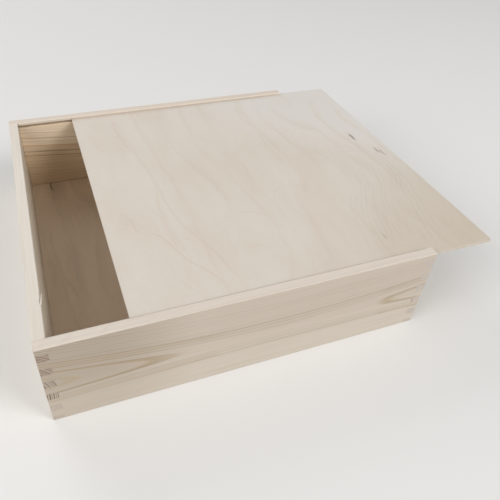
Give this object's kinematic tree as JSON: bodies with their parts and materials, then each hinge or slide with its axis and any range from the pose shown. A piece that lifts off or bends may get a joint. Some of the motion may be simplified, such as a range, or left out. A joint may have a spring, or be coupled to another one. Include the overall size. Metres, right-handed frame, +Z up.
{
  "type": "sliding lid wooden box",
  "caption": "Shallow square keepsake box of plain finger-jointed boards with a thin flat lid that slides in grooves just under the rim.",
  "frame": {"origin": "centre of the box's underside, on the surface that it stands on; the lid isn't counted", "axes": "+X the way the lid slides out, over the low end wall; +Y towards the back wall; +Z up"},
  "size_m": [0.4165, 0.35, 0.092],
  "materials": {
    "pine": "planed and sanded, bare",
    "plywood": "sanded pale veneer, bare"
  },
  "bodies": {
    "box": {"front_wall": "pine", "back_wall": "pine", "left_end_wall": "pine", "right_end_wall": "pine", "bottom_panel": "plywood"},
    "lid": {"lid": "plywood"}
  },
  "joints": [
    {"name": "lid_slide", "type": "slide", "parent": "box", "child": "lid", "axis": [1, 0, 0], "range_m": [-0.0665, 0.285]}
  ]
}
